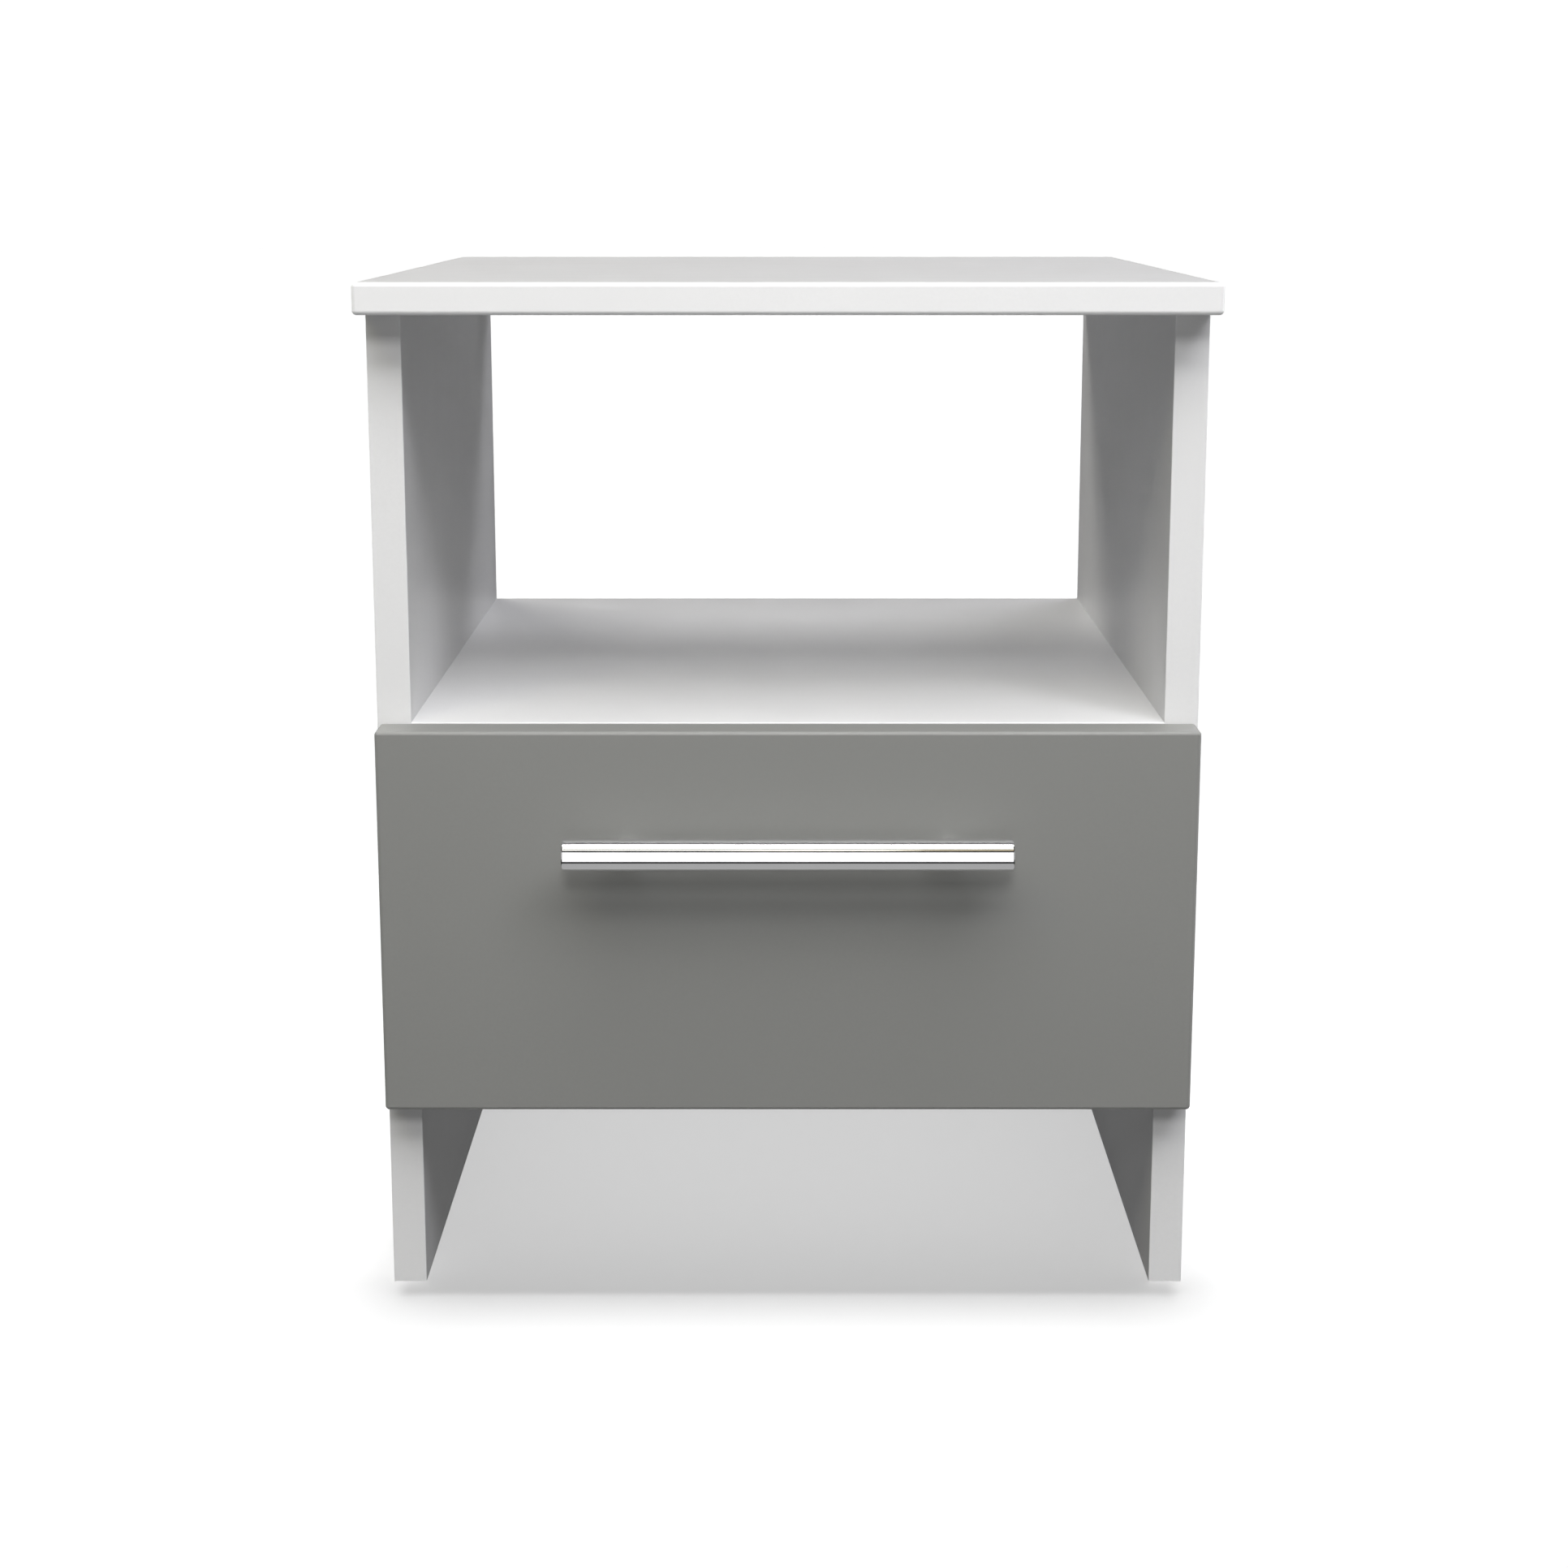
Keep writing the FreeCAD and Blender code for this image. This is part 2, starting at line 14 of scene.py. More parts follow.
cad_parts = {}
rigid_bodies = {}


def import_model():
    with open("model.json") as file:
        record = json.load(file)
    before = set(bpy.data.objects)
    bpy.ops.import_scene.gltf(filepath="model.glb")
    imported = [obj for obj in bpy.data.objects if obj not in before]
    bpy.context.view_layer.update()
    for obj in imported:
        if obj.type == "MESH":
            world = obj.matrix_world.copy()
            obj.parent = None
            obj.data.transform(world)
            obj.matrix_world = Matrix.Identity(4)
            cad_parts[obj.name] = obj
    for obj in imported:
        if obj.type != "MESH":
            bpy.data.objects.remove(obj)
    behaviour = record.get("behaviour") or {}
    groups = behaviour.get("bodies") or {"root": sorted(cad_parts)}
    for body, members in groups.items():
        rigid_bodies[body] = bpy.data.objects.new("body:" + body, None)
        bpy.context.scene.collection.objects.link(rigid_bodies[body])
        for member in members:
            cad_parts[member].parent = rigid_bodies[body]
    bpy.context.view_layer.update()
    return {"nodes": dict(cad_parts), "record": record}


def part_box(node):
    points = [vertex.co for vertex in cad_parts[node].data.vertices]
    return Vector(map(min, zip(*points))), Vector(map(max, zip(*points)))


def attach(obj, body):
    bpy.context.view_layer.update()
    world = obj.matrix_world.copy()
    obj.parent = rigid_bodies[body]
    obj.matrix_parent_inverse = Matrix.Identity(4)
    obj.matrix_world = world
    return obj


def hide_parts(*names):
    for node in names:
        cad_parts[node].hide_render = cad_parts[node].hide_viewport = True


MM = 0.001

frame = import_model()
nodes = frame["nodes"]
body_of_node = {}
for body, members in frame["record"]["behaviour"]["bodies"].items():
    for member in members:
        body_of_node[member] = body
slot_of_node = {}
for row in frame["record"]["subparts"]:
    slot_of_node[row["node"]] = row["material_slot"]


# Material graphs

class Graph:
    """One material's nodes.  Inputs are given as numbers or as other nodes' outputs.
    Noise scales count waves per metre, and bump depths are metres."""

    def __init__(self, name):
        self.material = bpy.data.materials.new(name)
        self.material.use_nodes = True
        self.tree = self.material.node_tree
        self.shader = self.tree.nodes["Principled BSDF"]

    def feed(self, socket, value):
        if isinstance(value, bpy.types.NodeSocket):
            self.tree.links.new(value, socket)
        else:
            socket.default_value = value

    def add(self, kind, inputs, **settings):
        node = self.tree.nodes.new(kind)
        for key, value in settings.items():
            setattr(node, key, value)
        for key, value in inputs.items():
            self.feed(node.inputs[key], value)
        return node

    def surface(self, **inputs):
        for key, value in inputs.items():
            self.feed(self.shader.inputs[key.replace("_", " ")], value)

    def place(self, stretch=(1.0, 1.0, 1.0)):
        """A point of the object in metres, squeezed along each axis."""
        at = self.add("ShaderNodeTexCoord", {}).outputs["Object"]
        scaled = self.add("ShaderNodeVectorMath", {0: at, 1: stretch}, operation="MULTIPLY")
        return scaled.outputs["Vector"]

    def noise(self, scale, detail=3.0, roughness=0.5, place=None):
        inputs = {
            "Vector": place or self.place(),
            "Scale": scale,
            "Detail": detail,
            "Roughness": roughness,
        }
        return self.add("ShaderNodeTexNoise", inputs).outputs["Fac"]

    def cells(self, scale):
        inputs = {"Vector": self.place(), "Scale": scale}
        node = self.add("ShaderNodeTexVoronoi", inputs, feature="SMOOTH_F1")
        return node.outputs["Distance"]

    def ranged(self, value, low, high, start=0.3, stop=0.7):
        inputs = {
            "Value": value,
            "From Min": start,
            "From Max": stop,
            "To Min": low,
            "To Max": high,
        }
        return self.add("ShaderNodeMapRange", inputs).outputs["Result"]

    def product(self, first, second):
        node = self.add("ShaderNodeMath", {0: first, 1: second}, operation="MULTIPLY")
        return node.outputs["Value"]

    def colours(self, share, first, second):
        inputs = {"Factor": share, "A": (*first, 1.0), "B": (*second, 1.0)}
        node = self.tree.nodes.new("ShaderNodeMix")
        node.data_type = "RGBA"
        for key, value in inputs.items():
            socket = [s for s in node.inputs if s.name == key and s.enabled][0]
            self.feed(socket, value)
        return [s for s in node.outputs if s.enabled][0]

    def bump(self, height, depth, under=None):
        inputs = {"Height": height, "Distance": depth, "Strength": 1.0}
        if under is not None:
            inputs["Normal"] = under
        return self.add("ShaderNodeBump", inputs).outputs["Normal"]


def shade(colour, share):
    return tuple(part * share for part in colour)


def laminate(name, colour, gloss, grain, grain_depth):
    """Smooth foil or melamine: a fine pearl grain over a board that is not quite flat."""
    graph = Graph(name)
    cloud = graph.ranged(graph.noise(scale=9.0, detail=2.0), low=0.0, high=1.0)
    speck = graph.ranged(graph.noise(scale=750.0, detail=2.0), low=0.0, high=1.0)
    base = graph.colours(graph.product(cloud, speck), shade(colour, 0.975), colour)
    wear = graph.noise(scale=42.0, detail=4.0)
    ripple = graph.bump(graph.noise(scale=26.0, detail=1.0), depth=0.12 * MM)
    pearl = graph.noise(scale=grain, detail=2.0, roughness=0.6)
    graph.surface(
        Base_Color=base,
        Roughness=graph.ranged(wear, low=gloss - 0.04, high=gloss + 0.05),
        Normal=graph.bump(pearl, depth=grain_depth, under=ripple),
    )
    return graph.material


def wood_foil(name, colour, along):
    """White foil pressed with a fine open grain that runs along one axis."""
    graph = Graph(name)
    stretch = tuple(0.035 if axis == along else 1.0 for axis in "xyz")
    grain = graph.noise(scale=620.0, detail=5.0, roughness=0.65, place=graph.place(stretch))
    wide = graph.noise(scale=70.0, detail=3.0, roughness=0.55, place=graph.place(stretch))
    tone = graph.ranged(wide, low=0.0, high=1.0)
    pores = graph.ranged(grain, low=0.0, high=1.0, start=0.35, stop=0.6)
    graph.surface(
        Base_Color=graph.colours(tone, shade(colour, 0.955), colour),
        Roughness=graph.ranged(grain, low=0.52, high=0.4),
        Normal=graph.bump(pores, depth=0.05 * MM),
    )
    return graph.material


def hardboard(name, colour):
    """Painted fibreboard: flat paint over short matted fibres."""
    graph = Graph(name)
    lie = graph.place((1.0, 1.0, 0.45))
    fibres = graph.noise(scale=900.0, detail=6.0, roughness=0.7, place=lie)
    mottle = graph.ranged(graph.noise(scale=38.0, detail=5.0, roughness=0.6), low=0.0, high=1.0)
    graph.surface(
        Base_Color=graph.colours(mottle, shade(colour, 0.97), colour),
        Roughness=graph.ranged(fibres, low=0.55, high=0.72),
        Normal=graph.bump(fibres, depth=0.08 * MM),
    )
    return graph.material


def powder_coat(name, colour):
    """Baked epoxy on steel, with its orange-peel skin."""
    graph = Graph(name)
    peel = graph.cells(scale=420.0)
    tone = graph.ranged(graph.noise(scale=60.0), low=0.0, high=1.0)
    graph.surface(
        Base_Color=graph.colours(tone, shade(colour, 0.96), colour),
        Roughness=graph.ranged(peel, low=0.3, high=0.42, start=0.1, stop=0.6),
        Normal=graph.bump(peel, depth=0.09 * MM),
    )
    return graph.material


def nylon(name, colour):
    """Moulded nylon, rubbed smooth where it has rolled."""
    graph = Graph(name)
    tone = graph.ranged(graph.noise(scale=140.0), low=0.0, high=1.0)
    rub = graph.noise(scale=1100.0, roughness=0.6)
    graph.surface(
        Base_Color=graph.colours(tone, shade(colour, 0.93), colour),
        Roughness=graph.ranged(rub, low=0.34, high=0.5),
        Normal=graph.bump(rub, depth=0.03 * MM),
    )
    return graph.material


def zinc(name, bright, dull):
    """Zinc plate with the blue and straw bloom of its passivation."""
    graph = Graph(name)
    bloom = graph.ranged(graph.noise(scale=260.0, detail=4.0, roughness=0.6), low=0.0, high=1.0)
    drawn = graph.place((1.0, 1.0, 0.2))
    scratch = graph.noise(scale=2400.0, roughness=0.6, place=drawn)
    graph.surface(
        Base_Color=graph.colours(bloom, bright, dull),
        Metallic=1.0,
        Roughness=graph.ranged(scratch, low=0.26, high=0.42),
        Normal=graph.bump(scratch, depth=0.01 * MM),
    )
    return graph.material


def chrome(name, colour):
    """Polished plate with faint buffing lines along the bar."""
    graph = Graph(name)
    buff = graph.noise(scale=3200.0, roughness=0.6, place=graph.place((0.02, 1.0, 1.0)))
    film = graph.ranged(graph.noise(scale=55.0, detail=4.0, roughness=0.6), low=0.0, high=1.0)
    graph.surface(
        Base_Color=graph.colours(film, shade(colour, 0.97), colour),
        Metallic=1.0,
        Roughness=graph.ranged(buff, low=0.045, high=0.085),
        Normal=graph.bump(buff, depth=0.0012 * MM),
    )
    return graph.material


def timber(name, light, dark, along):
    """Plain beech with its short dark flecks."""
    graph = Graph(name)
    stretch = tuple(0.08 if axis == along else 1.0 for axis in "xyz")
    fleck = graph.noise(scale=700.0, detail=4.0, roughness=0.6, place=graph.place(stretch))
    graph.surface(
        Base_Color=graph.colours(graph.ranged(fleck, low=0.0, high=1.0), dark, light),
        Roughness=graph.ranged(fleck, low=0.7, high=0.55),
        Normal=graph.bump(fleck, depth=0.04 * MM),
    )
    return graph.material


WHITE = (0.80, 0.80, 0.803)
WHITE_STRIP = (0.87, 0.87, 0.872)
GREY = (0.272, 0.274, 0.263)
PAINT = (0.76, 0.76, 0.75)
FOIL = (0.78, 0.78, 0.775)
EPOXY = (0.80, 0.80, 0.79)
IVORY = (0.74, 0.74, 0.70)
BRIGHT_ZINC, DULL_ZINC = (0.66, 0.66, 0.63), (0.55, 0.56, 0.57)
PALE_BEECH, DARK_BEECH = (0.66, 0.47, 0.29), (0.50, 0.33, 0.19)
PLATE = (0.90, 0.90, 0.91)

materials = {
    "white_board": laminate(
        "white_laminate", WHITE, gloss=0.42, grain=1500.0, grain_depth=0.014 * MM
    ),
    "white_edging": laminate(
        "white_edging", WHITE_STRIP, gloss=0.34, grain=2200.0, grain_depth=0.006 * MM
    ),
    "grey_front": laminate(
        "grey_foil", GREY, gloss=0.46, grain=1300.0, grain_depth=0.02 * MM
    ),
    "drawer_board": wood_foil("drawer_foil", FOIL, along="y"),
    "white_hardboard": hardboard("back_paint", PAINT),
    "drawer_hardboard": hardboard("drawer_board_paint", PAINT),
    "white_steel": powder_coat("runner_epoxy", EPOXY),
    "nylon": nylon("roller_nylon", IVORY),
    "zinc_steel": zinc("zinc_plate", BRIGHT_ZINC, DULL_ZINC),
    "chrome": chrome("chrome_plate", PLATE),
    "beech": timber("beech", PALE_BEECH, DARK_BEECH, along="x"),
}


# Pieces

WELD = 0.001 * MM
FLAT = math.radians(0.6)
SHARP = math.radians(40)
SHARP_ON_TURNED = math.radians(38)

LEFT, RIGHT = Vector((-1, 0, 0)), Vector((1, 0, 0))
FORWARD, UP = Vector((0, -1, 0)), Vector((0, 0, 1))


def settle(piece, *replaced):
    """The piece moves with its node's body, is painted for its slot and stands for the node."""
    node = replaced[0]
    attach(piece, body_of_node[node])
    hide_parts(*replaced)
    piece.data.materials.clear()
    piece.data.materials.append(materials[slot_of_node[node]])


def new_piece(name, mesh):
    piece = bpy.data.objects.new(name, mesh)
    bpy.context.scene.collection.objects.link(piece)
    return piece


def smooth_over(piece):
    """Smooth shading in which the large faces stay true and the small ones blend."""
    for face in piece.data.polygons:
        face.use_smooth = True
    weigh = piece.modifiers.new("weighted normals", "WEIGHTED_NORMAL")
    weigh.keep_sharp = True
    weigh.weight = 100


def eased(node, width, segments):
    """The node's own shape, with every sharp edge rounded by a hair as a made edge is."""
    bm = bmesh.new()
    bm.from_mesh(nodes[node].data)
    bmesh.ops.remove_doubles(bm, verts=bm.verts, dist=WELD)
    bmesh.ops.dissolve_limit(bm, angle_limit=FLAT, verts=bm.verts, edges=bm.edges)
    sharp = [edge for edge in bm.edges if edge.is_manifold and edge.calc_face_angle() > SHARP]
    bmesh.ops.bevel(
        bm,
        geom=sharp,
        offset=width,
        offset_type="OFFSET",
        segments=segments,
        profile=0.5,
        affect="EDGES",
        clamp_overlap=True,
    )
    bmesh.ops.recalc_face_normals(bm, faces=bm.faces)
    mesh = bpy.data.meshes.new(node + "_finished")
    bm.to_mesh(mesh)
    bm.free()
    piece = new_piece(node + "_finished", mesh)
    smooth_over(piece)
    settle(piece, node)


def solids(node):
    """The lowest and highest corner of each separate solid in a node, in a fixed order."""
    bm = bmesh.new()
    bm.from_mesh(nodes[node].data)
    bmesh.ops.remove_doubles(bm, verts=bm.verts, dist=WELD)
    left = set(bm.verts)
    boxes = []
    while left:
        group = {left.pop()}
        edge_of_group = set(group)
        while edge_of_group:
            reached = set()
            for vert in edge_of_group:
                for edge in vert.link_edges:
                    reached.add(edge.other_vert(vert))
            edge_of_group = reached & left
            left -= edge_of_group
            group |= edge_of_group
        low = Vector(min(v.co[i] for v in group) for i in range(3))
        high = Vector(max(v.co[i] for v in group) for i in range(3))
        boxes.append((low, high))
    bm.free()
    return sorted(boxes, key=lambda pair: tuple(round(part, 5) for part in pair[0] + pair[1]))


def arc(centre, radius, start, stop, steps):
    """Points of a round stretch of a profile, from one angle in degrees to another."""
    points = []
    for step in range(steps + 1):
        angle = math.radians(start + (stop - start) * step / steps)
        reach = centre[0] + radius * math.cos(angle)
        points.append((reach, centre[1] + radius * math.sin(angle)))
    return points


def turn(bm, profile, origin, along, steps):
    """Adds one turned solid.  The profile is (distance along, radius); it either starts
    and ends on the axis or closes on itself as a ring."""
    rotation = along.to_track_quat("X", "Z").to_matrix()
    ring = profile[0][1] > 0
    rows = []
    for reach, radius in profile:
        row = []
        if radius <= 0:
            row.append(bm.verts.new(origin + rotation @ Vector((reach, 0, 0))))
        else:
            for step in range(steps):
                angle = 2 * math.pi * step / steps
                point = Vector((reach, radius * math.cos(angle), radius * math.sin(angle)))
                row.append(bm.verts.new(origin + rotation @ point))
        rows.append(row)
    pairs = list(zip(rows, rows[1:]))
    if ring:
        pairs.append((rows[-1], rows[0]))
    for first, second in pairs:
        for step in range(steps):
            after = (step + 1) % steps
            corners = [first[step % len(first)], first[after % len(first)]]
            corners += [second[after % len(second)], second[step % len(second)]]
            bm.faces.new(list(dict.fromkeys(corners)))


def turned(node, profile, places, steps, recess=None):
    """A lathe piece at each place, as one object that stands for a node."""
    bm = bmesh.new()
    for origin, along in places:
        turn(bm, profile, origin, along, steps)
    bmesh.ops.recalc_face_normals(bm, faces=bm.faces)
    mesh = bpy.data.meshes.new(node + "_turned")
    bm.to_mesh(mesh)
    bm.free()
    piece = new_piece(node + "_turned", mesh)
    if recess:
        cut_crosses(piece, places, *recess)
    piece.data.set_sharp_from_angle(angle=SHARP_ON_TURNED)
    smooth_over(piece)
    settle(piece, node)


def cross_cutter(places, width, depth):
    """Two crossed wedges at each screw head, which narrow towards the bottom of the recess."""
    mouth_reach, mouth_thick = 1.0, 0.26
    tip_reach, tip_thick = 0.42, 0.14
    bm = bmesh.new()
    for origin, along in places:
        rotation = along.to_track_quat("X", "Z").to_matrix()
        for turned_by in (0.0, 90.0):
            blade = bmesh.ops.create_cube(bm, size=1.0)["verts"]
            spin = Matrix.Rotation(math.radians(turned_by), 3, "X")
            for vert in blade:
                deep = vert.co.x > 0
                reach = depth if deep else -depth
                half = width * (tip_reach if deep else mouth_reach)
                thick = width * (tip_thick if deep else mouth_thick)
                point = Vector((reach, 2 * vert.co.y * half, 2 * vert.co.z * thick))
                vert.co = origin + rotation @ (spin @ point)
    mesh = bpy.data.meshes.new("cross_cutter")
    bm.to_mesh(mesh)
    bm.free()
    return new_piece("cross_cutter", mesh)


def cut_crosses(piece, places, width, depth):
    """Sinks a tapered cross recess into each screw head."""
    cutter = cross_cutter(places, width, depth)
    cut = piece.modifiers.new("cross", "BOOLEAN")
    cut.operation = "DIFFERENCE"
    cut.solver = "EXACT"
    cut.use_self = True
    cut.object = cutter
    ready = piece.evaluated_get(bpy.context.evaluated_depsgraph_get())
    piece.data = bpy.data.meshes.new_from_object(ready)
    piece.modifiers.clear()
    bpy.data.objects.remove(cutter)
    bm = bmesh.new()
    bm.from_mesh(piece.data)
    bmesh.ops.dissolve_degenerate(bm, dist=0.002 * MM, edges=bm.edges)
    bmesh.ops.triangulate(bm, faces=[face for face in bm.faces if len(face.verts) > 4])
    bm.to_mesh(piece.data)
    bm.free()


def thread(start, stop, root, crest, pitch):
    """A screw's shank as a saw-tooth profile that ends in a point."""
    points = []
    turns = int((stop - start) / pitch) - 1
    for count in range(turns):
        points.append((start + count * pitch, root))
        points.append((start + (count + 0.5) * pitch, crest))
    points.append((start + turns * pitch, root))
    points.append((stop, 0.0))
    return points


BOARDS = ["top_panel", "left_side_panel", "right_side_panel", "shelf_panel", "base_panel"]
STRIPS = [name for name in nodes if name.endswith("_lipping") or name.endswith("_tape")]
DRAWER_BOARDS = ["drawer_box_front", "drawer_back", "left_drawer_side", "right_drawer_side"]
RUNNERS = [name for name in nodes if name.endswith("_runner")]


def boards_and_runners():
    """Each row: nodes, how far their edges are eased and in how many steps."""
    for members, width, segments in (
        (BOARDS, 0.10 * MM, 2),
        (sorted(STRIPS), 0.10 * MM, 2),
        (DRAWER_BOARDS, 0.25 * MM, 2),
        (["back_panel", "drawer_bottom"], 0.30 * MM, 2),
        (["drawer_front"], 0.40 * MM, 3),
        (sorted(RUNNERS), 0.35 * MM, 3),
    ):
        for node in members:
            eased(node, width, segments)


def outward(low):
    """The direction from the middle of the table to the side that a fitting is on."""
    return RIGHT if low.x > 0 else LEFT


def roller_profile(width, radius):
    """A ring with a hub, a web dished on both faces and a tyre with rounded edges."""
    bore, hub, tyre = 2.05 * MM, 4.0 * MM, radius - 2.4 * MM
    slope = 0.3 * MM
    ease = 0.6 * MM
    front_web, rear_web = 0.6 * MM, width - 0.9 * MM
    profile = [(0, bore), (0, hub), (front_web, hub + slope)]
    profile += [(front_web, tyre - slope), (0, tyre)]
    profile += arc((ease, radius - ease), ease, 180, 90, 4)
    profile += [(width / 2, radius)]
    profile += arc((width - ease, radius - ease), ease, 90, 0, 4)
    profile += [(width, tyre), (rear_web, tyre - slope)]
    profile += [(rear_web, hub + slope), (width, hub), (width, bore)]
    return profile


def rivet_profile(length):
    """A shank through the runner, a shoulder behind it, and a domed head over the roller."""
    shank, wide = 2.0 * MM, 3.5 * MM
    steel, shoulder, head = 1.2 * MM, 1.2 * MM, 0.8 * MM
    dome, crown = 3.2 * MM, 2.0 * MM
    profile = [(0, 0), (0, shank), (steel, shank), (steel, wide)]
    profile += [(steel + shoulder, wide), (steel + shoulder, shank)]
    profile += [(length - head, shank), (length - head, wide)]
    profile += [(length - head * 0.5, dome), (length - head * 0.12, crown), (length, 0)]
    return profile


def rollers():
    """Four rollers, each on a rivet of its own."""
    for side in ("left", "right"):
        for place in ("cabinet", "drawer"):
            node = side + "_" + place + "_roller"
            low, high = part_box(node)
            width = high.x - low.x
            out = outward(low) if place == "drawer" else -outward(low)
            origin = (low + high) / 2 - out * width / 2
            turned(node, roller_profile(width, (high.z - low.z) / 2), [(origin, out)], 72)
            pin_node = node + "_pin"
            low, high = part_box(pin_node)
            length = high.x - low.x
            origin = (low + high) / 2 - out * length / 2
            turned(pin_node, rivet_profile(length), [(origin, out)], 48)


# Heads of screws and nails, as (distance along, radius) in millimetres.
SUNK_HEAD = ((0, 0), (0, 3.35), (0.15, 3.38), (1.7, 1.75))
PAN_HEAD = ((0, 0), (0.05, 1.5), (0.45, 2.8), (1.2, 3.4), (2.0, 3.4), (2.0, 1.7))
BROAD_HEAD = ((0, 0), (0.06, 2.0), (0.6, 3.5), (1.4, 4.2), (2.4, 4.2), (2.4, 1.95))
NAIL_HEAD = ((0, 0), (0.05, 1.2), (0.3, 1.9), (0.5, 2.0), (0.6, 2.0), (0.6, 0.8))
WOOD_THREAD = {"root": 1.25 * MM, "crest": 1.72 * MM, "pitch": 1.3 * MM}
METAL_THREAD = {"root": 1.6 * MM, "crest": 1.94 * MM, "pitch": 0.7 * MM}


def head_profile(points):
    return [(reach * MM, radius * MM) for reach, radius in points]


def driven(node, profile, along, steps, recess=None):
    """One turned fitting in each of the node's solids, from the outside of its head inwards.
    Without a direction, each one points to the side of the table that it is on."""
    places = []
    for low, high in solids(node):
        course = along or outward(low)
        reach = abs((high - low).dot(course)) / 2
        places.append(((low + high) / 2 - course * reach, course))
    turned(node, profile, places, steps, recess)


def depth_of(node):
    """How far a node's first solid reaches from front to back."""
    low, high = solids(node)[0]
    return high.y - low.y


def fasteners():
    """Screws with cross recesses and threaded shanks, and the back panel's nails."""
    for node, length, along in (
        ("cabinet_runner_screws", 14.0 * MM, None),
        ("drawer_front_screws", 25.0 * MM, FORWARD),
    ):
        profile = head_profile(SUNK_HEAD) + thread(2.2 * MM, length, **WOOD_THREAD)
        driven(node, profile, along, 40, (1.9 * MM, 1.3 * MM))
    profile = head_profile(PAN_HEAD) + thread(2.4 * MM, 18.0 * MM, **WOOD_THREAD)
    driven("drawer_runner_screws", profile, UP, 40, (1.9 * MM, 1.2 * MM))
    length = depth_of("handle_screws")
    profile = head_profile(BROAD_HEAD) + thread(2.6 * MM, length, **METAL_THREAD)
    driven("handle_screws", profile, FORWARD, 48, (2.3 * MM, 1.5 * MM))
    length, point, shank = depth_of("back_panel_nails"), 2.0 * MM, 0.8 * MM
    profile = head_profile(NAIL_HEAD) + [(length - point, shank), (length, 0)]
    driven("back_panel_nails", profile, FORWARD, 32)


def bar_profile(length, radius):
    """A round bar with eased ends."""
    ease = 0.7 * MM
    profile = [(0, 0)] + arc((ease, radius - ease), ease, 180, 90, 6)
    profile += [(2 * ease, radius), (length / 2, radius), (length - 2 * ease, radius)]
    profile += arc((length - ease, radius - ease), ease, 90, 0, 6) + [(length, 0)]
    return profile


def post_profile(reach, foot):
    """A post with a foot against the drawer front and a slight waist, let into the bar."""
    edge, foot_length, taper_end = 0.2 * MM, 1.6 * MM, 2.6 * MM
    waist, neck = foot - 0.4 * MM, foot - 0.1 * MM
    neck_length, into_bar = 1.0 * MM, 0.6 * MM
    profile = [(0, 0), (0, foot - edge), (edge, foot), (foot_length, foot), (taper_end, waist)]
    profile += [(reach * 0.7, waist), (reach - neck_length, neck)]
    profile += [(reach + into_bar, neck), (reach + into_bar, 0)]
    return profile


def handle():
    """A polished bar on two posts."""
    low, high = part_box("handle_bar")
    middle = (low + high) / 2
    profile = bar_profile(high.x - low.x, (high.z - low.z) / 2)
    turned("handle_bar", profile, [(Vector((low.x, middle.y, middle.z)), RIGHT)], 128)
    low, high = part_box("handle_posts")
    foot = (high.z - low.z) / 2
    places = []
    for x in (low.x + foot, high.x - foot):
        places.append((Vector((x, high.y, middle.z)), FORWARD))
    turned("handle_posts", post_profile(high.y - low.y, foot), places, 56)


def dowels():
    """Dowels are shut inside the boards and keep their CAD shape."""
    for node, piece in nodes.items():
        if node.endswith("_dowels"):
            piece.data.materials.clear()
            piece.data.materials.append(materials["beech"])


boards_and_runners()
rollers()
fasteners()
handle()
dowels()


# Studio

MIDDLE = Vector((0.0, 0.0, 0.28))
REACH_OF_LIGHTS = 2.4
DOME_RADIUS = 20.0
FLOOR_HALF = 24.0
FLOOR_GLOW = 0.43
SHADOW_LIGHT_STRENGTH = 2.05
SHADOW_LIGHT_SPREAD = math.radians(9.5)

NEUTRAL = (1.0, 1.0, 1.0)
COOL = (0.95, 0.95, 1.0)
WARM = (1.0, 0.92, 0.62)
WARM_WHITE = (1.0, 0.985, 0.94)
CREAM = (1.0, 0.99, 0.93)
TAN = (1.0, 0.86, 0.58)


def camera():
    """Just above the table's top, looking slightly down, as the table is usually shown.
    The shift is as large as keeps the whole table in view from the sides and above."""
    data = bpy.data.cameras.new("camera")
    data.lens = 55.286
    data.sensor_width = 36.0
    data.shift_y = -0.11
    data.clip_end = 100.0
    pitch = 10.135
    eye = bpy.data.objects.new("camera", data)
    eye.location = (-0.0019, -1.3381, 0.5673)
    eye.rotation_euler = (math.radians(90.0 - pitch), 0.0, 0.0)
    bpy.context.scene.collection.objects.link(eye)
    bpy.context.scene.camera = eye


def unseen(piece, *kinds):
    """The piece is left out for these kinds of rays."""
    for kind in kinds:
        setattr(piece, "visible_" + kind, False)


def glow(graph, strength):
    graph.surface(Emission_Color=(1.0, 1.0, 1.0, 1.0), Emission_Strength=strength)
    graph.shader.inputs["Specular IOR Level"].default_value = 0.0


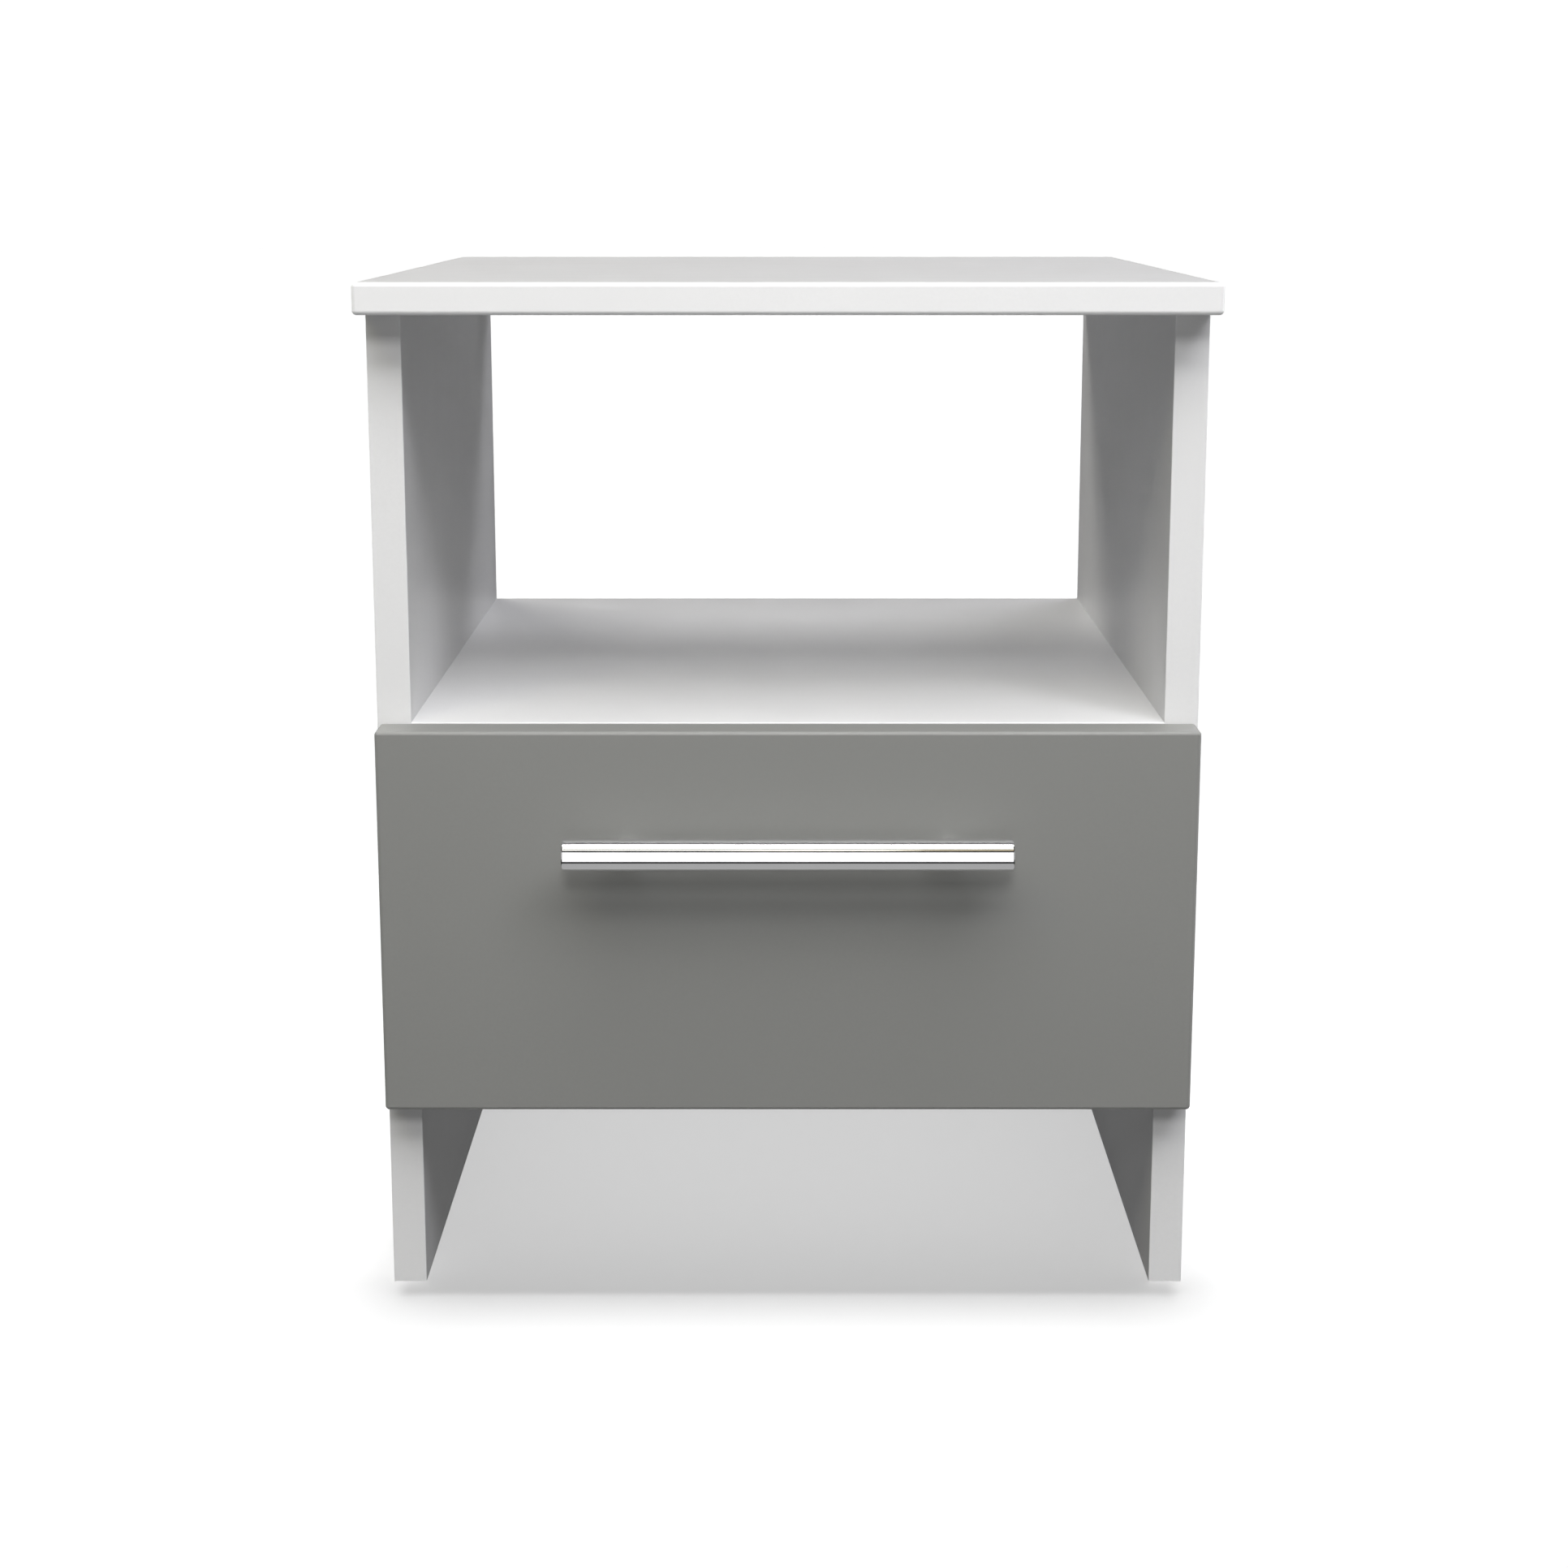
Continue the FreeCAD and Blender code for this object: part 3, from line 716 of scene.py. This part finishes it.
def floor():
    """A pale floor.  It glows a little, so that only the table's own shadow shows on it."""
    graph = Graph("floor_paint")
    tone = graph.ranged(graph.noise(scale=3.0, detail=2.0), low=0.0, high=1.0)
    pale = graph.colours(tone, (0.88, 0.88, 0.88), (0.9, 0.9, 0.9))
    graph.surface(Base_Color=pale, Roughness=0.9)
    glow(graph, FLOOR_GLOW)
    mesh = bpy.data.meshes.new("floor")
    half = FLOOR_HALF
    corners = [(-half, -half, 0.0), (half, -half, 0.0), (half, half, 0.0), (-half, half, 0.0)]
    mesh.from_pydata(corners, [], [(0, 1, 2, 3)])
    mesh.materials.append(graph.material)
    sheet = new_piece("floor", mesh)
    unseen(sheet, "diffuse", "glossy", "shadow")


def backdrop():
    """A white dome far behind everything, seen only by the camera."""
    graph = Graph("backdrop_white")
    graph.surface(Base_Color=(0.0, 0.0, 0.0, 1.0))
    glow(graph, 1.1)
    bm = bmesh.new()
    bmesh.ops.create_uvsphere(bm, u_segments=32, v_segments=16, radius=DOME_RADIUS)
    mesh = bpy.data.meshes.new("backdrop")
    bm.to_mesh(mesh)
    bm.free()
    mesh.materials.append(graph.material)
    dome = new_piece("backdrop", mesh)
    unseen(dome, "diffuse", "glossy", "shadow", "transmission")


def light_set(name, state, *pieces):
    """A light-linking set that takes in only these pieces, or leaves only them out."""
    members = bpy.data.collections.new(name)
    for piece in pieces:
        members.objects.link(bpy.data.objects[piece])
    for row in members.collection_objects:
        row.light_linking.link_state = state
    return members


def softbox(name, azimuth, elevation, size, power, tint, lit):
    """A soft box that faces the middle of the table.  Azimuth 0 is in front, 90 on the right."""
    across, up = math.radians(azimuth), math.radians(elevation)
    level = math.cos(up)
    away = Vector((math.sin(across) * level, -math.cos(across) * level, math.sin(up)))
    data = bpy.data.lights.new(name, "AREA")
    data.shape = "RECTANGLE"
    data.size, data.size_y = size
    data.energy = power
    data.color = tint
    lamp = bpy.data.objects.new(name, data)
    lamp.location = MIDDLE + away * REACH_OF_LIGHTS
    lamp.rotation_euler = (-away).to_track_quat("-Z", "Y").to_euler()
    bpy.context.scene.collection.objects.link(lamp)
    lamp.visible_camera = False
    lamp.light_linking.receiver_collection = lit


def floor_light(lit, casters):
    """Light from straight above that only the floor takes, for the soft shadow on it."""
    data = bpy.data.lights.new("floor_light", "SUN")
    data.energy = SHADOW_LIGHT_STRENGTH
    data.angle = SHADOW_LIGHT_SPREAD
    lamp = bpy.data.objects.new("floor_light", data)
    bpy.context.scene.collection.objects.link(lamp)
    lamp.light_linking.receiver_collection = lit
    lamp.light_linking.blocker_collection = casters


def world():
    """Hardly any light from around, and a grey glow from straight below for the chrome."""
    sky = bpy.data.worlds.new("studio")
    sky.use_nodes = True
    tree = sky.node_tree
    toward = tree.nodes.new("ShaderNodeTexCoord")
    parts = tree.nodes.new("ShaderNodeSeparateXYZ")
    reach = tree.nodes.new("ShaderNodeMapRange")
    ramp = {"From Min": -0.67, "From Max": -0.73, "To Min": 0.02, "To Max": 0.42}
    for key, value in ramp.items():
        reach.inputs[key].default_value = value
    tree.links.new(toward.outputs["Generated"], parts.inputs["Vector"])
    tree.links.new(parts.outputs["Z"], reach.inputs["Value"])
    background = tree.nodes["Background"]
    background.inputs["Color"].default_value = (1.0, 1.0, 1.0, 1.0)
    tree.links.new(reach.outputs["Result"], background.inputs["Strength"])
    bpy.context.scene.world = sky


BAR = "handle_bar_turned"
LEFT_SIDE, RIGHT_SIDE = "left_side_panel_finished", "right_side_panel_finished"
TOP = [
    "top_panel_finished",
    "top_left_lipping_finished",
    "top_right_lipping_finished",
    "top_back_lipping_finished",
]
BAY = ["top_panel_finished", "shelf_panel_finished"]
REAR = [piece.name for piece in bpy.data.objects if piece.name.endswith("_back_tape_finished")]
REAR += ["top_back_lipping_finished", "back_panel_finished", "back_panel_nails_turned"]


def table_lights():
    """The light on the table.  The top's upper side is kept out of the highest boxes, and
    the open bay out of the side ones.  Each row: name, azimuth, elevation, size, watts."""
    table = light_set("table", "EXCLUDE", "floor", BAR)
    below_top = light_set("table_below_the_top", "EXCLUDE", "floor", BAR, *TOP)
    right_side = light_set("right_side", "EXCLUDE", "floor", BAR, LEFT_SIDE, *BAY)
    left_side = light_set("left_side", "EXCLUDE", "floor", BAR, RIGHT_SIDE, *BAY)
    rear = light_set("rear", "INCLUDE", *REAR)
    for row in (
        ("front", 0, -5, (1.0, 2.2), 5.2, NEUTRAL, table),
        ("kicker", 0, 45, (2.0, 0.4), 9.6, NEUTRAL, table),
        ("key", 5, 47.5, (1.1, 0.4), 6.6, NEUTRAL, table),
        ("key_right", 40, 45, (0.6, 0.6), 10.4, COOL, table),
        ("key_left", -40, 45, (0.6, 0.6), 3.6, WARM, table),
        ("high", 5, 60, (2.0, 0.5), 17.5, NEUTRAL, below_top),
        ("overhead", 5, 72, (2.0, 0.5), 17.2, NEUTRAL, below_top),
        ("back", 180, 35, (1.2, 0.5), 3.3, NEUTRAL, table),
        ("back_low", 180, -45, (1.2, 0.5), 7.6, NEUTRAL, table),
        ("back_left", -135, 45, (1.2, 0.6), 21.0, WARM_WHITE, table),
        ("back_right", 135, 45, (1.2, 0.6), 18.3, COOL, table),
        ("side_right", 97, 8, (0.5, 1.6), 24.0, NEUTRAL, right_side),
        ("side_left", -97, 8, (0.5, 1.6), 19.0, NEUTRAL, left_side),
        ("rear", 180, 12, (1.4, 1.0), 14.0, NEUTRAL, rear),
        ("spot", 0, 30, (0.35, 0.4), 11.0, NEUTRAL, table),
    ):
        softbox(*row)


def bar_lights():
    """What the chrome bar mirrors: bright strips with dark gaps between them."""
    bar_only = light_set("bar_only", "INCLUDE", BAR)
    for row in (
        ("strip_front", 0, -5, (1.4, 2.2), 11.5, NEUTRAL),
        ("strip_front_high", 0, 26.2, (1.4, 0.56), 3.0, NEUTRAL),
        ("strip_key_left", -11, 46.5, (1.0, 0.36), 1.3, CREAM),
        ("strip_key_right", 14, 46.5, (1.0, 0.36), 0.62, TAN),
        ("strip_high", 0, 66, (1.6, 1.1), 6.4, CREAM),
        ("strip_ceiling", 0, 88, (1.6, 0.9), 70.0, NEUTRAL),
        ("strip_left", -44, 10, (0.5, 2.0), 3.2, NEUTRAL),
        ("strip_right", 44, 10, (0.5, 2.0), 3.2, NEUTRAL),
        ("strip_far_left", -80, 0, (1.2, 1.4), 3.6, NEUTRAL),
        ("strip_far_right", 80, 0, (1.2, 1.4), 3.6, NEUTRAL),
    ):
        softbox(*row, bar_only)


camera()
floor()
backdrop()
world()
table_lights()
bar_lights()
floor_light(
    light_set("floor_only", "INCLUDE", "floor"),
    light_set("all_but_the_handle", "EXCLUDE", BAR, "handle_posts_turned"),
)
bpy.context.scene.view_settings.view_transform = "Standard"
